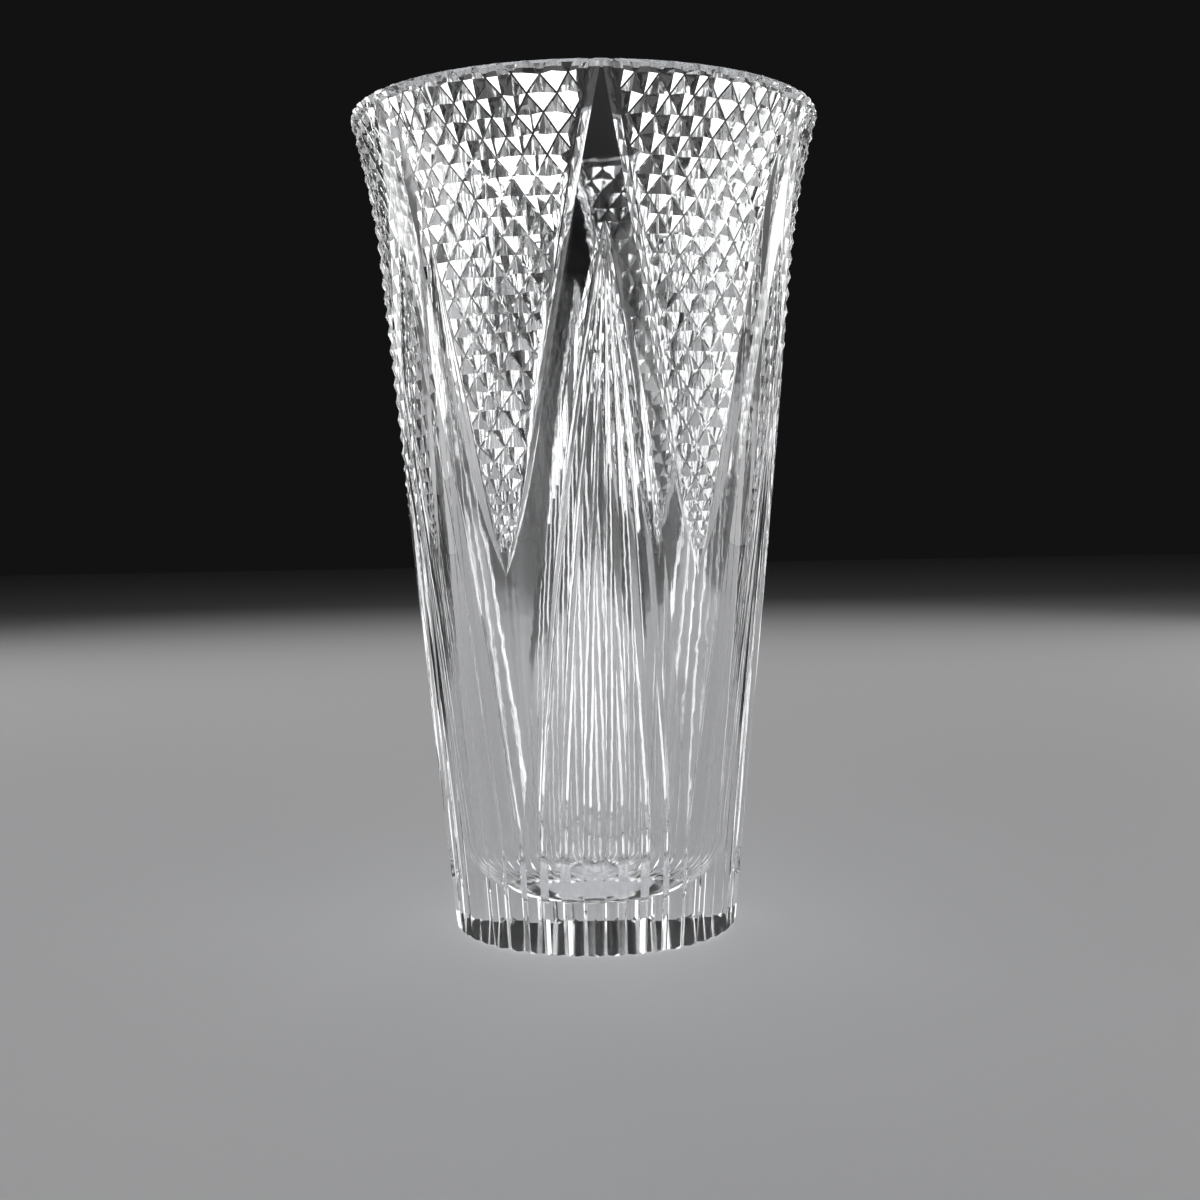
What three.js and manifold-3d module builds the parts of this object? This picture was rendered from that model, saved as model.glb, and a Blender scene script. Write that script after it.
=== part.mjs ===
// Cut crystal flower vase, 250 mm tall: one thick piece of lead crystal. A flared cone is blown with a
// round-bottomed hollow, and the pattern is then ground into its outside with V-edged wheels. The pattern
// repeats six times round the axis. In each sixth:
//   - a pointed panel of raised diamonds hangs from the rim,
//   - a deep mitre groove borders the panel on each side, and the two meet at the panel's point,
//   - a fan of seven V flutes rises from the foot and closes to a point between two panels.
// Between the grooves and the fans the wall stays smooth. Millimetres, +Z up, origin at the centre of the
// foot. Angles are degrees round the axis, from the front (-Y) towards +X.

import * as THREE from "three";
import { mergeVertices } from "three/addons/utils/BufferGeometryUtils.js";
import Module from "manifold-3d";

const wasm = await Module();
wasm.setup();

// Blank
const HEIGHT = 250;
const CONE_FOOT_RADIUS = 44;
const CONE_SLOPE = 0.0952; // radius gained for each millimetre of height
const FLARE_START = 208; // height where the wall starts to turn outwards
const FLARE_REACH = 4.2; // what the flare adds to the radius at the rim
const FLARE_POWER = 1.8;
const FLARE_STEPS = 4;
const EDGE_BEVEL = 1.2; // at the foot and on both sides of the rim
const BLANK_SEGMENTS = 90;

// Hollow
const FLOOR_THICKNESS = 13;
const FLOOR_FILLET = 18;
const FILLET_STEPS = 4;
const FOOT_WALL = 9;
const RIM_WALL = 5.5;
const HOLLOW_SEGMENTS = 60;

// Pattern
const SIXTHS = 6;
const SIXTH_ANGLE = 360 / SIXTHS;
const OVERCUT = 0.5; // how far a wheel stands proud of the surface that it cuts
const RUN_OFF = 1; // wheels and hollow run this far past the ends of the blank
const RUN_OUT = -0.05; // depth of a wheel that has just left the glass

// Mitre grooves, from a point on the rim to the panel's point
const PANEL_TIP_HEIGHT = 111.5;
const MITRE_WIDTH = 6;
const MITRE_SPREAD = Math.tan(THREE.MathUtils.degToRad(50)); // half width for each millimetre of depth
const MITRE_LEAN = 24.5; // the angle that the straight part covers on its way down
const MITRE_HOOK = 5.5; // what the bend near the point adds to it
const MITRE_STEPS = 10;

// Diamonds
const DIAMOND_WIDTH = 7.6;
const DIAMOND_DEPTH = 1.8;
const DIAMOND_SINK = 0.05; // the diamonds' points lie this far below the blank
const ROW_STEP = 5.2; // half the height of a diamond
const TOP_ROW_HEIGHT = 252; // its lower halves show under the rim
const FIRST_FINE_ROW = 20; // from here to the point, each row is smaller than the one above it
const FINE_ROW_SHRINK = 0.9;
const FINE_WIDTH_SHRINK = 0.87;
const LATTICE_OFFSET = 1.4; // from the panel's centre line, towards the fan between two panels of a pair
const PANEL_HALF_COLUMNS = 10; // half widths on each side of that
const PANEL_START = -0.02; // share of the way from the rim to the point where the diamonds start
const PANEL_END = 0.95;
const PANEL_STRIPS = 6;
const POINT_SHALLOWING = 0.75; // depth of the diamonds near the point, as a share of the mitre grooves' depth

// Fans of flutes
const FAN_APEX_HEIGHT = 209;
const FAN_MEET_HEIGHT = 34; // neighbouring fans touch here and run straight down to the foot
const FAN_POWER = 0.8;
const FAN_STEPS = 5;
const FLUTES = 7;
const FLUTE_SPREAD = 1.25;
const FLUTE_SINK = 0.1; // the crests between flutes lie this far below the blank
const APEX_CROWDING = 0.55; // how much of their even width the inner flutes lack at the point of the fan

const { degToRad, radToDeg, lerp, clamp } = THREE.MathUtils;

// The blank's radius at a height.
function outerRadius(height) {
  const rise = Math.max(0, (height - FLARE_START) / (HEIGHT - FLARE_START));
  return CONE_FOOT_RADIUS + CONE_SLOPE * height + FLARE_REACH * rise ** FLARE_POWER;
}

// The wall thins out towards the rim, faster and faster.
function innerRadius(height) {
  return outerRadius(height) - lerp(FOOT_WALL, RIM_WALL, (height / HEIGHT) ** 2);
}

// A place on the vase: an angle, a height and a depth below the blank's surface.
function onVase(angle, height, depth) {
  const radius = outerRadius(height) - depth;
  const turn = degToRad(angle);
  return new THREE.Vector3(radius * Math.sin(turn), -radius * Math.cos(turn), height);
}

// The angle that a distance along the surface covers at a height.
function arcAngle(distance, height) {
  return radToDeg(distance / outerRadius(height));
}

// Moves every corner of a geometry to the place that `place` gives for it.
function mapped(geometry, place) {
  const corners = geometry.getAttribute("position");
  const corner = new THREE.Vector3();
  for (let i = 0; i < corners.count; i += 1) {
    corner.fromBufferAttribute(corners, i);
    const { x, y, z } = place(corner);
    corners.setXYZ(i, x, y, z);
  }
  return geometry;
}

function toSolid(geometry) {
  const bare = geometry.clone();
  bare.deleteAttribute("normal");
  bare.deleteAttribute("uv");
  const merged = mergeVertices(bare, 1e-4);
  const mesh = new wasm.Mesh({
    numProp: 3,
    vertProperties: new Float32Array(merged.getAttribute("position").array),
    triVerts: new Uint32Array(merged.getIndex().array),
  });
  return new wasm.Manifold(mesh);
}

function toGeometry(solid) {
  const mesh = solid.getMesh();
  const geometry = new THREE.BufferGeometry();
  geometry.setAttribute("position", new THREE.BufferAttribute(mesh.vertProperties, 3));
  geometry.setIndex(new THREE.BufferAttribute(mesh.triVerts, 1));
  return geometry;
}

function join(solids) {
  return solids.reduce((joined, solid) => joined.add(solid));
}

// A turned solid about +Z from its [radius, height] outline, which starts and ends on the axis.
function turned(outline, segments) {
  const points = outline.map(([radius, height]) => new THREE.Vector2(radius, height));
  return toSolid(new THREE.LatheGeometry(points, segments).rotateX(Math.PI / 2));
}

function blank() {
  const flareTop = HEIGHT - EDGE_BEVEL;
  const outline = [
    [0, 0],
    [outerRadius(0) - EDGE_BEVEL, 0],
    [outerRadius(EDGE_BEVEL), EDGE_BEVEL],
  ];
  for (let i = 0; i <= FLARE_STEPS; i += 1) {
    const height = lerp(FLARE_START, flareTop, i / FLARE_STEPS);
    outline.push([outerRadius(height), height]);
  }
  outline.push([outerRadius(flareTop) - EDGE_BEVEL, HEIGHT], [0, HEIGHT]);
  return turned(outline, BLANK_SEGMENTS);
}

function hollow() {
  const filletTop = FLOOR_THICKNESS + FLOOR_FILLET;
  const filletCentre = innerRadius(filletTop) - FLOOR_FILLET;
  const flareTop = HEIGHT - EDGE_BEVEL;
  const mouth = EDGE_BEVEL + RUN_OFF;
  const outline = [[0, FLOOR_THICKNESS]];
  for (let i = 0; i < FILLET_STEPS; i += 1) {
    const turn = ((i / FILLET_STEPS) * Math.PI) / 2;
    outline.push([
      filletCentre + FLOOR_FILLET * Math.sin(turn),
      filletTop - FLOOR_FILLET * Math.cos(turn),
    ]);
  }
  outline.push([innerRadius(filletTop), filletTop]);
  for (let i = 0; i <= FLARE_STEPS; i += 1) {
    const height = lerp(FLARE_START, flareTop, i / FLARE_STEPS);
    outline.push([innerRadius(height), height]);
  }
  outline.push([innerRadius(flareTop) + mouth, flareTop + mouth], [0, flareTop + mouth]);
  return turned(outline, HOLLOW_SEGMENTS);
}

// What a V-edged wheel takes out on its way down the vase. path(step) gives the angle and height of the
// wheel's edge and its depth, and spread is the half width of the V for each millimetre of its depth.
function wheelCut(steps, spread, path) {
  const edge = new THREE.Shape([
    new THREE.Vector2(-1, 1),
    new THREE.Vector2(0, 0),
    new THREE.Vector2(1, 1),
  ]);
  const prism = new THREE.ExtrudeGeometry(edge, { depth: steps, steps, bevelEnabled: false });
  return toSolid(
    mapped(prism, ({ x, y, z }) => {
      const { angle, height, depth } = path(Math.round(z));
      const tall = depth + OVERCUT;
      return onVase(angle + arcAngle(x * tall * spread, height), height, depth - y * tall);
    }),
  );
}

// Share is 0 at the rim and 1 at the panel's point.
function panelHeight(share) {
  return lerp(HEIGHT, PANEL_TIP_HEIGHT, share);
}

function panelShare(height) {
  return (HEIGHT - height) / (HEIGHT - PANEL_TIP_HEIGHT);
}

function mitreWidth(share) {
  return MITRE_WIDTH * (1 - clamp(share, 0, 1) ** 6);
}

function mitreDepth(share) {
  return mitreWidth(share) / 2 / MITRE_SPREAD;
}

// Angle from a panel's centre line to the bottom of the mitre groove beside it.
function mitreOffset(share) {
  const smoothEdge = MITRE_LEAN * share + MITRE_HOOK * share ** 8;
  return SIXTH_ANGLE / 2 - smoothEdge - arcAngle(mitreWidth(share) / 2, panelHeight(share));
}

function mitre(side) {
  return wheelCut(MITRE_STEPS + 1, MITRE_SPREAD, (step) => {
    const share = (step - 1) / MITRE_STEPS;
    return {
      angle: SIXTH_ANGLE / 2 + side * mitreOffset(share),
      height: panelHeight(share),
      depth: Math.max(mitreDepth(share), RUN_OUT),
    };
  });
}

// How far a row is past the start of the fine rows.
function finePart(row) {
  return Math.max(0, row - FIRST_FINE_ROW);
}

function rowHeight(row) {
  const fine = (FINE_ROW_SHRINK * (1 - FINE_ROW_SHRINK ** finePart(row))) / (1 - FINE_ROW_SHRINK);
  return TOP_ROW_HEIGHT - ROW_STEP * (Math.min(row, FIRST_FINE_ROW) + fine);
}

// Depth of the grooves between the diamonds of a row. It follows their width, and the mitre grooves' depth
// near the point.
function diamondDepth(row) {
  const narrow = FINE_WIDTH_SHRINK ** finePart(row);
  return Math.min(DIAMOND_DEPTH * narrow, POINT_SHALLOWING * mitreDepth(panelShare(rowHeight(row))));
}

// The layer over a panel with the diamonds as its underside. The underside is a lattice of half widths and
// half heights on which the tops of the diamonds and the places where grooves cross take turns. Side is the
// side of the panel, -1 or 1, that the lattice is shifted to.
function diamondLattice(side) {
  const columns = 2 * PANEL_HALF_COLUMNS;
  let rows = FIRST_FINE_ROW;
  while (rowHeight(rows) > panelHeight(PANEL_END)) rows += 1;
  const layer = new THREE.BoxGeometry(columns, rows, 1, columns, rows, 1);
  const isTop = (column, row) => (column + row) % 2 !== 0;
  splitAlongGrooves(layer, columns, rows, isTop);
  return toSolid(
    mapped(layer, ({ x, y, z }) => {
      const column = Math.round(x);
      const row = Math.round(rows / 2 - y);
      const height = rowHeight(row);
      const groove = isTop(column, row) ? DIAMOND_SINK : diamondDepth(row);
      const across = (column * DIAMOND_WIDTH) / 2 + side * LATTICE_OFFSET;
      const angle = SIXTH_ANGLE / 2 + arcAngle(across * FINE_WIDTH_SHRINK ** finePart(row), height);
      return onVase(angle, height, z < 0 ? groove : -2 * OVERCUT);
    }),
  );
}

// Turns the diagonal of each square on the lattice's underside so that it joins two groove crossings. A
// box geometry lists that side last, square by square, and splits each square from its second corner.
function splitAlongGrooves(layer, columns, rows, isTop) {
  const index = layer.getIndex();
  const first = index.count - 6 * columns * rows;
  for (let square = 0; square < columns * rows; square += 1) {
    const at = first + 6 * square;
    const [a, b, d, , c] = index.array.slice(at, at + 6);
    const column = (square % columns) - columns / 2;
    const row = Math.floor(square / columns);
    if (isTop(column, row + 1)) index.array.set([a, b, c, a, c, d], at);
  }
}

// What the wheels take out of one panel, up to the bottoms of the mitre grooves beside it.
function panelGrooves(side) {
  const rows = MITRE_STEPS;
  const panel = new THREE.BoxGeometry(2, rows, 1, PANEL_STRIPS, rows, 1);
  const region = toSolid(
    mapped(panel, ({ x, y, z }) => {
      const share = lerp(PANEL_END, PANEL_START, y / rows + 0.5);
      const depth = z < 0 ? 2 * DIAMOND_DEPTH : -2 * OVERCUT;
      return onVase(SIXTH_ANGLE / 2 + x * mitreOffset(share), panelHeight(share), depth);
    }),
  );
  return region.intersect(diamondLattice(side));
}

// Half the angle that a fan covers, share being 0 at its point and 1 where it meets its neighbours.
function fanHalfAngle(share) {
  return (SIXTH_ANGLE / 2) * share ** FAN_POWER;
}

// Where the boundary between two flutes lies across the fan, from -1 to 1. Near the point of the fan, the two
// outer flutes take more than their share of it.
function fluteBoundary(index, share) {
  const even = (2 * index) / FLUTES - 1;
  const outer = index === 0 || index === FLUTES;
  return outer ? even : even * (1 - APEX_CROWDING * (1 - share) ** 4);
}

function flute(index) {
  return wheelCut(FAN_STEPS + 1, FLUTE_SPREAD, (step) => {
    const share = Math.min(1, step / FAN_STEPS);
    const height = step > FAN_STEPS ? -RUN_OFF : lerp(FAN_APEX_HEIGHT, FAN_MEET_HEIGHT, share);
    const left = fanHalfAngle(share) * fluteBoundary(index, share);
    const right = fanHalfAngle(share) * fluteBoundary(index + 1, share);
    const halfWidth = degToRad((right - left) / 2) * outerRadius(height);
    const sink = lerp(RUN_OUT, FLUTE_SINK, Math.min(1, 4 * share));
    return { angle: (left + right) / 2, height, depth: halfWidth / FLUTE_SPREAD + sink };
  });
}

// Everything that is ground out of one sixth of the vase.
function sixthCuts(side) {
  const flutes = Array.from({ length: FLUTES }, (_, index) => flute(index));
  return toGeometry(join([panelGrooves(side), mitre(-1), mitre(1), ...flutes]));
}

// The diamonds of neighbouring panels mirror each other.
function vaseBody() {
  const pair = [sixthCuts(-1), sixthCuts(1)];
  let body = blank().subtract(hollow());
  for (let i = 0; i < SIXTHS; i += 1) {
    body = body.subtract(toSolid(pair[i % 2].clone().rotateZ(degToRad(i * SIXTH_ANGLE))));
  }
  const crystal = new THREE.MeshStandardMaterial({
    color: 0xf1f4f7,
    roughness: 0.03,
    metalness: 0,
    transparent: true,
    opacity: 0.35,
  });
  const mesh = new THREE.Mesh(toGeometry(body), crystal);
  mesh.name = "vase_body";
  return mesh;
}

const vase = new THREE.Group();
vase.add(vaseBody());

export default vase;
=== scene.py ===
"""Cut crystal vase: a thick clear body, its pattern ground into the outside, on a pale studio floor.

The pattern repeats six times round the axis. Each sixth has a panel of raised diamonds under the rim,
a mitre groove on each side of it, and half a fan of V flutes on each side, which rises from the foot.
Lengths are metres. Angles are degrees round the axis, from the front (-Y) towards +X.
"""

import math

import bmesh
import bpy
from mathutils import Matrix, Vector, noise


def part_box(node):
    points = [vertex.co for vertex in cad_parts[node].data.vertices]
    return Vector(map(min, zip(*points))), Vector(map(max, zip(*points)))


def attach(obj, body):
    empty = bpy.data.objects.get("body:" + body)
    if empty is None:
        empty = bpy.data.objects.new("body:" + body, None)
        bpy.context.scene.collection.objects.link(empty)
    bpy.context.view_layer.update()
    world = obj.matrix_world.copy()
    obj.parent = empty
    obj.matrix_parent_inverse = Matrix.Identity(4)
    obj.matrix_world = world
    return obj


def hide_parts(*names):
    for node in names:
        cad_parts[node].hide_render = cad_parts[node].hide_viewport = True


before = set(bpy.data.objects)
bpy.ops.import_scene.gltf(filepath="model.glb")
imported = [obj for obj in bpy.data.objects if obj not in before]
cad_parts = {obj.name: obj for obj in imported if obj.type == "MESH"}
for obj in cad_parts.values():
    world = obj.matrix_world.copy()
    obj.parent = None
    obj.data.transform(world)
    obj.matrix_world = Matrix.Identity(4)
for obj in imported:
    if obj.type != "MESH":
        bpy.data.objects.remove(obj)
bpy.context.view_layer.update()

MM = 0.001
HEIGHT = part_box("vase_body")[1][2]
WELD_DISTANCE = 1e-8  # corners no farther apart than this are one

# Blank: a cone that flares under the rim
CONE_FOOT_RADIUS = 44 * MM
CONE_SLOPE = 0.0952
FLARE_START = 208 * MM
FLARE_REACH = 4.2 * MM
FLARE_POWER = 1.8
FLARE_STEPS = 40
EDGE_BEVEL = 1.2 * MM
BLANK_SEGMENTS = 360

# Hollow
FOOT_WALL = 9 * MM
RIM_WALL = 5.5 * MM
FLOOR_THICKNESS = 13 * MM
FLOOR_FILLET = 18 * MM
FILLET_STEPS = 24
WALL_STEPS = 110
HOLLOW_SEGMENTS = 240
WAVES = ((26 * MM, 0.12 * MM), (11 * MM, 0.03 * MM))  # length and height of those in its wall

# Pattern
SIXTHS = 6
SIXTH_ANGLE = 360 / SIXTHS
OVERCUT = 0.5 * MM  # how far a wheel stands proud of the surface that it cuts
RUN_OFF = 1 * MM  # how far a cut runs past the foot or the rim
RUN_OUT = -0.05 * MM  # depth where a groove ends, just above the surface
WHEEL_EDGE = 0.22 * MM  # half width of the blunt edge that a worn wheel leaves
EDGE_SHARE = 0.25  # the most of a narrow groove's half width that its flat bottom takes

# Mitre grooves
PANEL_TIP_HEIGHT = 111.5 * MM
MITRE_WIDTH = 6 * MM
MITRE_SPREAD = math.tan(math.radians(50))  # how far sideways its side goes for each metre up
MITRE_LEAN = 24.5  # degrees that a panel's edge draws in evenly on its way to the tip
MITRE_HOOK = 5.5  # degrees that it draws in more, almost all of them near the tip
MITRE_HOOK_POWER = 8
MITRE_END_POWER = 6  # the higher, the nearer the tip a groove starts to narrow
MITRE_STEPS = 48

# Diamonds
DIAMOND_WIDTH = 7.6 * MM
DIAMOND_DEPTH = 1.8 * MM
DIAMOND_SINK = 0.05 * MM  # depth of the points below the blank's surface
DIAMOND_FLAT = 0.09  # share of the way from a crossing to a point that a flat bottom takes
ROW_STEP = 5.2 * MM  # from a row of points to the next, half a diamond's height
TOP_ROW_HEIGHT = 252 * MM
FIRST_FINE_ROW = 20  # below this row, each row is smaller than the one above it
FINE_ROW_SHRINK = 0.9
FINE_WIDTH_SHRINK = 0.87
LATTICE_OFFSET = 1.4 * MM  # how far the lattice's middle lies beside the panel's
PANEL_HALF_COLUMNS = 10
PANEL_START = -0.02  # where a panel starts and ends, as shares of the way from the rim to its tip
PANEL_END = 0.95
PANEL_STRIPS = 12
POINT_SHALLOWING = 0.75  # the most of a mitre groove's depth that the diamonds beside it have

# Fans
FAN_APEX_HEIGHT = 209 * MM
FAN_MEET_HEIGHT = 34 * MM
FAN_POWER = 0.8
FAN_STEPS = 40
FLUTES = 7
FLUTE_SPREAD = 1.25  # how far sideways a flute's side goes for each metre up
FLUTE_SINK = 0.1 * MM  # depth of the crests between flutes below the blank's surface
FLUTE_BITE = 14  # that depth is reached 1 / FLUTE_BITE of the way down the fan
APEX_CROWDING = 0.55  # how much of their even spread the inner flutes lack at a fan's point
APEX_CROWDING_POWER = 4
APEX_LEAN = 0.7  # degrees that a fan's point lies beside its foot

# What the hand on the wheel leaves: how far grooves stray from their places
DIAMOND_STRAY = 0.16 * MM
FLUTE_STRAY = 0.1 * MM
MITRE_STRAY = 0.12 * MM
MITRE_WANDERS = 6  # about how often a mitre groove bends on its way down
OFF_GRID = 0.5  # the noise is nought at whole numbers, so this keeps clear of them
LEFT_SEED, RIGHT_SEED, FLUTE_SEED = 1, 2, 3  # keep the strays of different grooves apart

# Finishes of the crystal: name, roughness where it is dullest, length and height of its faint waves
CUT, INNER_WALL, FOOT = range(3)
FINISHES = (
    ("cut_crystal", 0.02, 11 * MM, 0.015 * MM),
    ("hollow_wall", 0.06, 5 * MM, 0.05 * MM),
    ("ground_foot", 0.14, 2 * MM, 0.02 * MM),
)
REFRACTIVE_INDEX = 1.55
CRYSTAL_COLOUR = (0.985, 0.99, 0.995, 1)
SHADOW_COLOUR = (0.86, 0.87, 0.88, 1)  # of the light that the crystal lets into its shadow
HAZE_SCALE = 60  # patches of duller polish in a metre
HAZE_DETAIL = 3
WAVE_DETAIL = 1
SHARP_ANGLE = 9  # degrees between two facets from which their edge is sharp
FOOT_LAYER = 0.1 * MM  # a face whose middle is lower than this is the foot's
WALL_LAYER = 1 * MM  # a face whose middle is less than this outside the hollow is its wall's

# The pale floor that the vase stands on
GROUND_HALF_SIZE = 3.0
GROUND_LEVEL = -0.3 * MM
GROUND_COLOUR = (0.6, 0.6, 0.61, 1)
GROUND_ROUGHNESS = 0.6
GROUND_SPECULAR = 0.2

# Soft boxes round the vase: name, angle round it, angle above it, width, length, brightness
LIGHTS = (
    ("front_right", 45, 16, 1.0, 1.0, 1.7),
    ("front_left", -45, 16, 1.0, 1.0, 1.6),
    ("right", 88, 14, 0.9, 0.9, 1.05),
    ("left", -88, 14, 0.9, 0.9, 1.3),
    ("back_right", 128, 16, 0.7, 0.7, 1.4),
    ("back_left", -128, 16, 0.7, 0.7, 1.7),
    ("back_high", 180, 36, 0.9, 0.65, 2.2),
)
LIGHT_DISTANCE = 1.3
WORLD_COLOUR = (0.006, 0.006, 0.0065, 1)
CLEAR_BOUNCES = 24  # of light through the crystal's many facets
GLOSSY_BOUNCES = 12

# Camera: its distance and height in heights of the vase, its angles in degrees, its lens in mm
CAMERA_DISTANCE = 2.07
CAMERA_HEIGHT = 0.528
CAMERA_TURN = -4.0
CAMERA_PAN = -0.3
CAMERA_DOWN = 3.37
CAMERA_ROLL = -0.89
SENSOR_WIDTH = 36
FOCAL_LENGTH = 49.6


def lerp(a, b, share):
    return a + (b - a) * share


def outer_radius(height):
    rise = max(0.0, (height - FLARE_START) / (HEIGHT - FLARE_START))
    return CONE_FOOT_RADIUS + CONE_SLOPE * height + FLARE_REACH * rise**FLARE_POWER


def inner_radius(height):
    return outer_radius(height) - lerp(FOOT_WALL, RIM_WALL, (height / HEIGHT) ** 2)


def on_vase(angle, height, depth):
    """A place on the vase, by its depth below the blank's surface."""
    radius = outer_radius(height) - depth
    turn = math.radians(angle)
    return (radius * math.sin(turn), -radius * math.cos(turn), height)


def arc_angle(distance, height):
    return math.degrees(distance / outer_radius(height))


def stray(amount, *seed):
    """A pseudo-random length between -amount and amount, the same each time for the same seed."""
    return amount * (2 * noise.cell(Vector(seed)) - 1)


def solid(name, vertices, faces):
    """A closed mesh object, with its faces turned out."""
    mesh = bpy.data.meshes.new(name)
    mesh.from_pydata(vertices, [], faces)
    bm = bmesh.new()
    bm.from_mesh(mesh)
    bmesh.ops.remove_doubles(bm, verts=bm.verts, dist=WELD_DISTANCE)
    bmesh.ops.recalc_face_normals(bm, faces=bm.faces)
    bm.to_mesh(mesh)
    bm.free()
    piece = bpy.data.objects.new(name, mesh)
    bpy.context.scene.collection.objects.link(piece)
    return piece


def discard(piece):
    mesh = piece.data
    bpy.data.objects.remove(piece)
    bpy.data.meshes.remove(mesh)


def combine(body, tool, operation):
    """Joins or cuts body with tool, which is used up."""
    modifier = body.modifiers.new("cut", "BOOLEAN")
    modifier.object = tool
    modifier.operation = operation
    modifier.solver = "MANIFOLD"
    shown = body.evaluated_get(bpy.context.evaluated_depsgraph_get())
    result = bpy.data.meshes.new_from_object(shown)
    body.modifiers.clear()
    old = body.data
    body.data = result
    bpy.data.meshes.remove(old)
    discard(tool)
    return body


def grid_faces(across, along, at):
    """Quads over a grid, where at(column, row) gives a vertex number."""
    return [
        (at(i, j), at(i + 1, j), at(i + 1, j + 1), at(i, j + 1))
        for j in range(along)
        for i in range(across)
    ]


def slab(name, across, along, place, skin=None):
    """A closed slab over a grid. place(column, row, inner) gives its corners, and skin, if given, the
    vertices to add and the faces of its inner side."""
    wide = across + 1
    sheet = wide * (along + 1)
    vertices = [
        place(i, j, inner) for inner in (False, True) for j in range(along + 1) for i in range(wide)
    ]
    faces = grid_faces(across, along, lambda i, j: j * wide + i)
    plain = grid_faces(across, along, lambda i, j: sheet + j * wide + i)
    extra, inner_faces = skin or ([], plain)
    edge = [(i, 0) for i in range(across)] + [(across, j) for j in range(along)]
    edge += [(i, along) for i in range(across, 0, -1)] + [(0, j) for j in range(along, 0, -1)]
    loop = [j * wide + i for i, j in edge]
    for a, b in zip(loop, loop[1:] + loop[:1]):
        faces.append((a, b, b + sheet, a + sheet))
    return solid(name, vertices + extra, faces + inner_faces)


def turned(name, outline, segments):
    """A turned solid from its (radius, height) outline, which starts and ends on the axis."""
    rings = outline[1:-1]
    vertices = [(0.0, 0.0, outline[0][1]), (0.0, 0.0, outline[-1][1])]
    for radius, height in rings:
        for k in range(segments):
            turn = 2 * math.pi * k / segments
            vertices.append((radius * math.sin(turn), -radius * math.cos(turn), height))
    faces = []
    for k in range(segments):
        after = (k + 1) % segments
        faces.append((0, 2 + k, 2 + after))
        last = 2 + (len(rings) - 1) * segments
        faces.append((1, last + after, last + k))
        for ring in range(len(rings) - 1):
            low = 2 + ring * segments
            high = low + segments
            faces.append((low + k, high + k, high + after, low + after))
    return solid(name, vertices, faces)


def blank():
    flare_top = HEIGHT - EDGE_BEVEL
    outline = [(0, 0), (outer_radius(0) - EDGE_BEVEL, 0), (outer_radius(EDGE_BEVEL), EDGE_BEVEL)]
    for i in range(FLARE_STEPS + 1):
        height = lerp(FLARE_START, flare_top, i / FLARE_STEPS)
        outline.append((outer_radius(height), height))
    outline += [(outer_radius(flare_top) - EDGE_BEVEL, HEIGHT), (0, HEIGHT)]
    return turned("crystal_body", outline, BLANK_SEGMENTS)


def hollow():
    fillet_top = FLOOR_THICKNESS + FLOOR_FILLET
    fillet_centre = inner_radius(fillet_top) - FLOOR_FILLET
    top = HEIGHT - EDGE_BEVEL
    mouth = EDGE_BEVEL + RUN_OFF
    outline = [(0, FLOOR_THICKNESS)]
    for i in range(FILLET_STEPS):
        turn = math.pi / 2 * i / FILLET_STEPS
        radius = fillet_centre + FLOOR_FILLET * math.sin(turn)
        outline.append((radius, fillet_top - FLOOR_FILLET * math.cos(turn)))
    for i in range(WALL_STEPS + 1):
        height = lerp(fillet_top, top, i / WALL_STEPS)
        outline.append((inner_radius(height), height))
    outline += [(inner_radius(top) + mouth, top + mouth), (0, top + mouth)]
    piece = turned("hollow", outline, HOLLOW_SEGMENTS)
    for vertex in piece.data.vertices:
        place = vertex.co
        if fillet_top < place.z < top:
            outward = Vector((place.x, place.y, 0)).normalized()
            wave = sum(size * noise.noise(place / length) for length, size in WAVES)
            vertex.co = place + outward * wave
    return piece


def wheel_cut(name, steps, spread, path):
    """What a V-edged wheel takes out on its way down. path(step) gives its angle, its height, its depth
    and the half width of its blunt edge."""
    vertices = []
    for step in range(steps + 1):
        angle, height, depth, edge = path(step)
        reach = edge + (depth + OVERCUT) * spread
        for offset, level in ((-reach, -OVERCUT), (-edge, depth), (edge, depth), (reach, -OVERCUT)):
            vertices.append(on_vase(angle + arc_angle(offset, height), height, level))
    corners = 4
    last = corners * steps
    faces = [(0, 1, 2, 3), (last, last + 3, last + 2, last + 1)]
    for step in range(steps):
        a = corners * step
        b = a + corners
        for k in range(corners):
            after = (k + 1) % corners
            faces.append((a + k, b + k, b + after, a + after))
    return solid(name, vertices, faces)


def panel_height(share):
    return lerp(HEIGHT, PANEL_TIP_HEIGHT, share)


def panel_share(height):
    return (HEIGHT - height) / (HEIGHT - PANEL_TIP_HEIGHT)


def mitre_width(share):
    return MITRE_WIDTH * (1 - min(max(share, 0), 1) ** MITRE_END_POWER)


def wheel_edge(half_width):
    return min(WHEEL_EDGE, EDGE_SHARE * max(half_width, 0))


def mitre_depth(share):
    half = mitre_width(share) / 2
    return (half - wheel_edge(half)) / MITRE_SPREAD


def mitre_offset(share):
    """Angle from a panel's centre line to the bottom of the mitre groove beside it."""
    smooth_edge = MITRE_LEAN * share + MITRE_HOOK * share**MITRE_HOOK_POWER
    half = arc_angle(mitre_width(share) / 2, panel_height(share))
    return SIXTH_ANGLE / 2 - smooth_edge - half


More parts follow.
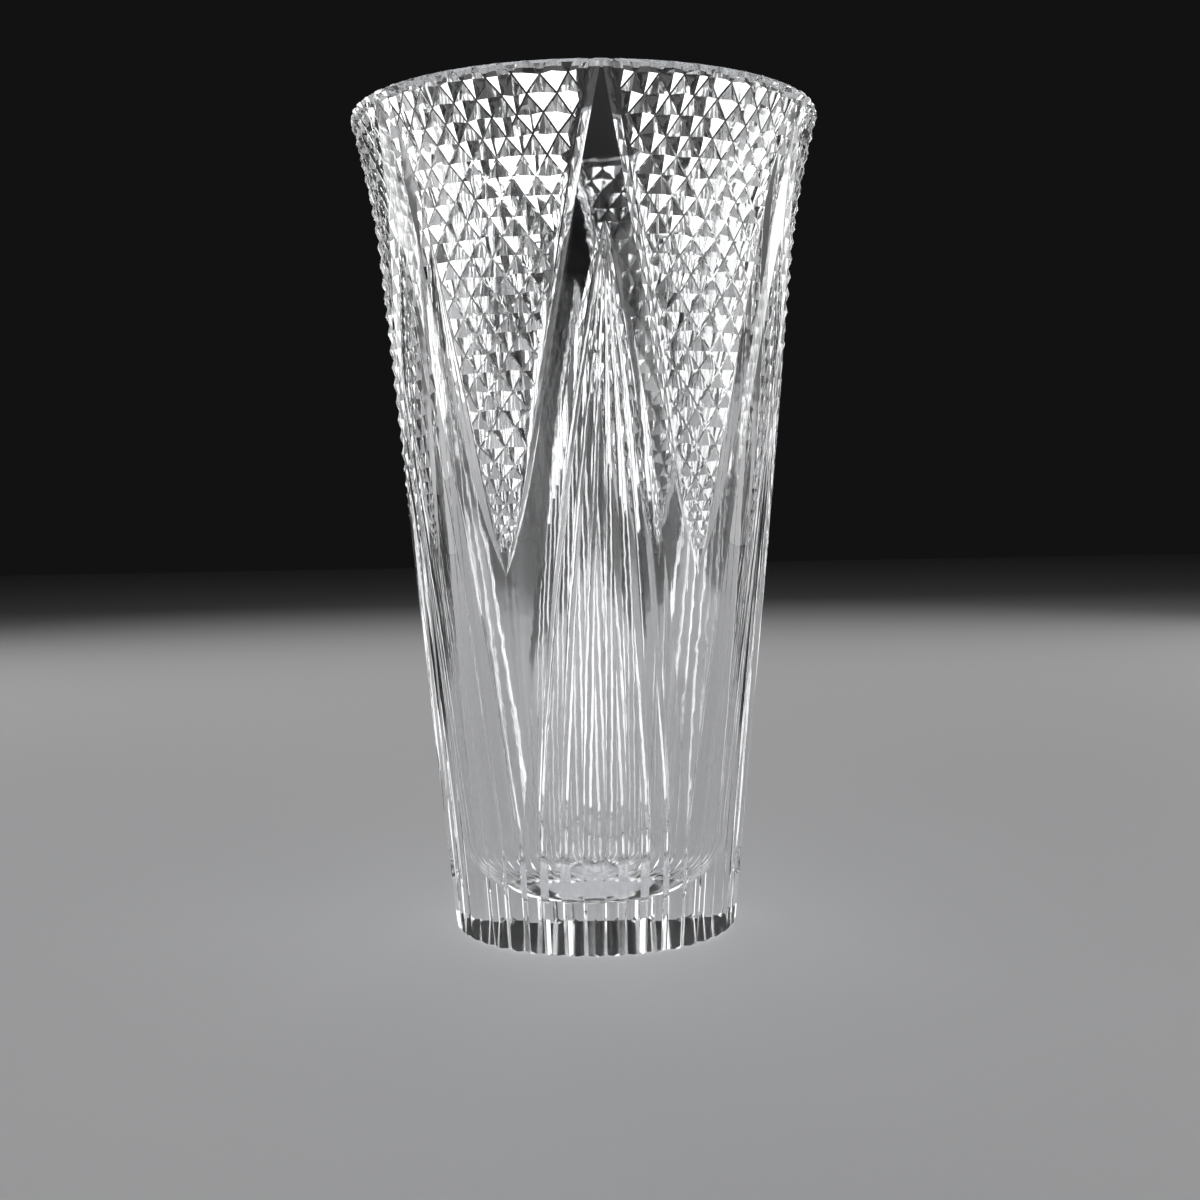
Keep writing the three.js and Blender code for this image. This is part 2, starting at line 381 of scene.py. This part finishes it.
def mitre(side, sixth):
    def path(step):
        share = (step - 1) / MITRE_STEPS
        height = panel_height(share)
        seed = Vector((share * MITRE_WANDERS, side, sixth + OFF_GRID))
        wander = noise.noise(seed) * MITRE_STRAY
        angle = SIXTH_ANGLE / 2 + side * mitre_offset(share) + arc_angle(wander, height)
        return angle, height, max(mitre_depth(share), RUN_OUT), wheel_edge(mitre_width(share) / 2)

    return wheel_cut("mitre", MITRE_STEPS + 1, MITRE_SPREAD, path)


def fine_part(row):
    return max(0, row - FIRST_FINE_ROW)


def row_height(row):
    fine = FINE_ROW_SHRINK * (1 - FINE_ROW_SHRINK ** fine_part(row)) / (1 - FINE_ROW_SHRINK)
    return TOP_ROW_HEIGHT - ROW_STEP * (min(row, FIRST_FINE_ROW) + fine)


def diamond_depth(row):
    narrow = FINE_WIDTH_SHRINK ** fine_part(row)
    near_point = POINT_SHALLOWING * mitre_depth(panel_share(row_height(row)))
    return max(DIAMOND_SINK, min(DIAMOND_DEPTH * narrow, near_point))


def diamond_lattice(sixth):
    """The layer over a panel, with the diamonds as its underside. On a lattice of half widths and
    half heights, the points of the diamonds take turns with the crossings of the grooves."""
    columns = 2 * PANEL_HALF_COLUMNS
    rows = FIRST_FINE_ROW
    while row_height(rows) > panel_height(PANEL_END):
        rows += 1
    offset = LATTICE_OFFSET * (1 if sixth % 2 else -1)

    def spot(column, row, depth):
        """A place on the vase from its place in the lattice, which need not be whole."""
        left, right = round(column + row), round(column - row)
        stray_left = stray(DIAMOND_STRAY, left, LEFT_SEED, sixth)
        stray_right = stray(DIAMOND_STRAY, right, RIGHT_SEED, sixth)
        across = (column - PANEL_HALF_COLUMNS) * DIAMOND_WIDTH / 2 + offset
        across = across * FINE_WIDTH_SHRINK ** fine_part(row) + stray_left + stray_right
        height = row_height(row) + stray_left - stray_right
        return on_vase(SIXTH_ANGLE / 2 + arc_angle(across, height), height, depth)

    def is_point(column, row):
        return (column - PANEL_HALF_COLUMNS + row) % 2 != 0

    def place(column, row, inner):
        return spot(column, row, diamond_depth(row) if inner else -2 * OVERCUT)

    wide = columns + 1
    sheet = wide * (rows + 1)
    extra = []
    numbers = {}

    def foot(point, crossing):
        """The number of a corner of a diamond's foot, drawn in from a crossing by the groove's flat
        bottom. With the diamond's point in place of the crossing, that of the point."""
        column, row = crossing
        if column in (0, columns) or row in (0, rows):
            return sheet + row * wide + column
        if (point, crossing) not in numbers:
            drawn_in = [lerp(c, p, DIAMOND_FLAT) for c, p in zip(crossing, point)]
            depth = DIAMOND_SINK if point == crossing else diamond_depth(row)
            numbers[point, crossing] = 2 * sheet + len(extra)
            extra.append(spot(*drawn_in, depth))
        return numbers[point, crossing]

    faces = []
    for row in range(rows):
        for column in range(columns):
            square = [(column, row), (column + 1, row), (column + 1, row + 1), (column, row + 1)]
            first, second = [corner for corner in square if is_point(*corner)]
            x, y = [corner for corner in square if not is_point(*corner)]
            faces.append((foot(first, first), foot(first, x), foot(first, y)))
            faces.append((foot(second, second), foot(second, y), foot(second, x)))
            faces.append((foot(first, y), foot(first, x), foot(second, x), foot(second, y)))
    for row in range(1, rows):
        for column in range(1, columns):
            if not is_point(column, row):
                left, right = (column - 1, row), (column + 1, row)
                above, below = (column, row - 1), (column, row + 1)
                around = (left, below, right, above)
                faces.append(tuple(foot(point, (column, row)) for point in around))
    faces = [tuple(dict.fromkeys(face)) for face in faces]
    return slab("lattice", columns, rows, place, (extra, [face for face in faces if len(face) > 2]))


def panel_grooves(sixth):
    """What the wheels take out of one panel, up to the bottoms of the mitre grooves beside it."""
    rows = 2 * MITRE_STEPS

    def place(column, row, inner):
        share = lerp(PANEL_START, PANEL_END, row / rows)
        angle = SIXTH_ANGLE / 2 + (2 * column / PANEL_STRIPS - 1) * mitre_offset(share)
        return on_vase(angle, panel_height(share), 2 * DIAMOND_DEPTH if inner else -2 * OVERCUT)

    panel = slab("panel", PANEL_STRIPS, rows, place)
    return combine(panel, diamond_lattice(sixth), "INTERSECT")


def fan_half_angle(share):
    return SIXTH_ANGLE / 2 * share**FAN_POWER


def flute_boundary(number, share):
    """Where the boundary between two flutes lies across the fan, from -1 to 1. Near the point of the
    fan, the two outer flutes take more than their share of it."""
    even = 2 * number / FLUTES - 1
    if number in (0, FLUTES):
        return even
    return even * (1 - APEX_CROWDING * (1 - share) ** APEX_CROWDING_POWER)


def flute(index, sixth):
    lean = APEX_LEAN * (-1 if sixth % 2 else 1)

    def boundary(number, share):
        height = lerp(FAN_APEX_HEIGHT, FAN_MEET_HEIGHT, share)
        outer = number in (0, FLUTES)
        wander = 0 if outer else arc_angle(stray(FLUTE_STRAY, number, FLUTE_SEED, sixth), height)
        middle = lean * (1 - share)
        return middle + fan_half_angle(share) * flute_boundary(number, share) + wander * share

    def path(step):
        share = min(1, step / FAN_STEPS)
        height = -RUN_OFF if step > FAN_STEPS else lerp(FAN_APEX_HEIGHT, FAN_MEET_HEIGHT, share)
        left, right = boundary(index, share), boundary(index + 1, share)
        half_width = math.radians((right - left) / 2) * outer_radius(height)
        edge = wheel_edge(half_width)
        sink = lerp(RUN_OUT, FLUTE_SINK, min(1, FLUTE_BITE * share))
        return (left + right) / 2, height, (half_width - edge) / FLUTE_SPREAD + sink, edge

    return wheel_cut("flute", FAN_STEPS + 1, FLUTE_SPREAD, path)


def cut_body():
    body = combine(blank(), hollow(), "DIFFERENCE")
    for sixth in range(SIXTHS):
        cuts = panel_grooves(sixth)
        for side in (-1, 1):
            combine(cuts, mitre(side, sixth), "UNION")
        for index in range(FLUTES):
            combine(cuts, flute(index, sixth), "UNION")
        cuts.data.transform(Matrix.Rotation(math.radians(sixth * SIXTH_ANGLE), 4, "Z"))
        combine(body, cuts, "DIFFERENCE")
    return body


def finish_surface(body):
    """Smooth shading on the turned and ground curves, sharp edges between facets."""
    body.data.shade_smooth()
    body.data.set_sharp_from_angle(angle=math.radians(SHARP_ANGLE))


def crystal(name, dullest, wave_length, wave_height):
    """Clear crystal, with faint waves. Its roughness varies from half the dullest to the dullest."""
    material = bpy.data.materials.new(name)
    material.use_nodes = True
    nodes, links = material.node_tree.nodes, material.node_tree.links
    glass = nodes["Principled BSDF"]
    surface = nodes["Material Output"].inputs["Surface"]
    clear = nodes.new("ShaderNodeBsdfTransparent")
    clear.inputs["Color"].default_value = SHADOW_COLOUR
    mix = nodes.new("ShaderNodeMixShader")
    light_path = nodes.new("ShaderNodeLightPath")
    links.new(light_path.outputs["Is Shadow Ray"], mix.inputs["Fac"])
    links.new(glass.outputs["BSDF"], mix.inputs[1])
    links.new(clear.outputs["BSDF"], mix.inputs[2])
    links.new(mix.outputs["Shader"], surface)
    glass.inputs["Base Color"].default_value = CRYSTAL_COLOUR
    glass.inputs["IOR"].default_value = REFRACTIVE_INDEX
    glass.inputs["Transmission Weight"].default_value = 1.0
    place = nodes.new("ShaderNodeTexCoord")
    haze = nodes.new("ShaderNodeTexNoise")
    haze.inputs["Scale"].default_value = HAZE_SCALE
    haze.inputs["Detail"].default_value = HAZE_DETAIL
    polish = nodes.new("ShaderNodeMapRange")
    polish.inputs["To Min"].default_value = dullest / 2
    polish.inputs["To Max"].default_value = dullest
    ripple = nodes.new("ShaderNodeTexNoise")
    ripple.inputs["Scale"].default_value = 1 / wave_length
    ripple.inputs["Detail"].default_value = WAVE_DETAIL
    bump = nodes.new("ShaderNodeBump")
    bump.inputs["Distance"].default_value = wave_height
    links.new(place.outputs["Object"], haze.inputs["Vector"])
    links.new(place.outputs["Object"], ripple.inputs["Vector"])
    links.new(haze.outputs["Fac"], polish.inputs["Value"])
    links.new(polish.outputs["Result"], glass.inputs["Roughness"])
    links.new(ripple.outputs["Fac"], bump.inputs["Height"])
    links.new(bump.outputs["Normal"], glass.inputs["Normal"])
    return material


def finish_at(x, y, height):
    if height < FOOT_LAYER:
        return FOOT
    if height > FLOOR_THICKNESS / 2 and math.hypot(x, y) < inner_radius(height) + WALL_LAYER:
        return INNER_WALL
    return CUT


def vase():
    body = cut_body()
    finish_surface(body)
    mesh = body.data
    mesh.materials.clear()
    for finish in FINISHES:
        mesh.materials.append(crystal(*finish))
    for face in mesh.polygons:
        face.material_index = finish_at(*face.center)
    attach(body, "root")
    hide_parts("vase_body")


def floor():
    size = GROUND_HALF_SIZE
    mesh = bpy.data.meshes.new("floor")
    corners = [(-size, -size), (size, -size), (size, size), (-size, size)]
    mesh.from_pydata([(x, y, GROUND_LEVEL) for x, y in corners], [], [(0, 1, 2, 3)])
    piece = bpy.data.objects.new("floor", mesh)
    bpy.context.scene.collection.objects.link(piece)
    material = bpy.data.materials.new("pale_floor")
    material.use_nodes = True
    shader = material.node_tree.nodes["Principled BSDF"]
    shader.inputs["Base Color"].default_value = GROUND_COLOUR
    shader.inputs["Roughness"].default_value = GROUND_ROUGHNESS
    shader.inputs["Specular IOR Level"].default_value = GROUND_SPECULAR
    mesh.materials.append(material)


def soft_box(name, turn, rise, width, length, glow):
    """A plain white soft light, aimed at the vase from an angle round it and one above it. Its power
    follows from its area and its brightness."""
    middle = Vector((0, 0, HEIGHT / 2))
    around, above = math.radians(turn), math.radians(rise)
    flat = math.cos(above)
    away = Vector((math.sin(around) * flat, -math.cos(around) * flat, math.sin(above)))
    light = bpy.data.lights.new(name, "AREA")
    light.shape = "RECTANGLE"
    light.size = width
    light.size_y = length
    light.energy = math.pi * width * length * glow
    lamp = bpy.data.objects.new(name, light)
    lamp.location = middle + away * LIGHT_DISTANCE
    lamp.rotation_euler = (-away).to_track_quat("-Z", "Y").to_euler()
    lamp.visible_camera = False
    bpy.context.scene.collection.objects.link(lamp)


def studio():
    for box in LIGHTS:
        soft_box(*box)
    world = bpy.data.worlds.new("studio")
    world.use_nodes = True
    world.node_tree.nodes["Background"].inputs["Color"].default_value = WORLD_COLOUR
    bpy.context.scene.world = world
    bpy.context.scene.view_settings.view_transform = "Standard"


def camera():
    distance = CAMERA_DISTANCE * HEIGHT
    turn, pan = math.radians(CAMERA_TURN), math.radians(CAMERA_PAN)
    down, roll = math.radians(CAMERA_DOWN), math.radians(CAMERA_ROLL)
    place = Vector(
        (math.sin(turn) * distance, -math.cos(turn) * distance, CAMERA_HEIGHT * HEIGHT)
    )
    lens = bpy.data.cameras.new("camera")
    lens.sensor_width = SENSOR_WIDTH
    lens.lens = FOCAL_LENGTH
    viewer = bpy.data.objects.new("camera", lens)
    viewer.matrix_world = (
        Matrix.Translation(place)
        @ Matrix.Rotation(turn + pan, 4, "Z")
        @ Matrix.Rotation(math.pi / 2 - down, 4, "X")
        @ Matrix.Rotation(roll, 4, "Z")
    )
    bpy.context.scene.collection.objects.link(viewer)
    bpy.context.scene.camera = viewer


def light_paths():
    cycles = bpy.context.scene.cycles
    cycles.max_bounces = CLEAR_BOUNCES
    cycles.transmission_bounces = CLEAR_BOUNCES
    cycles.transparent_max_bounces = CLEAR_BOUNCES
    cycles.glossy_bounces = GLOSSY_BOUNCES


camera()
vase()
floor()
studio()
light_paths()
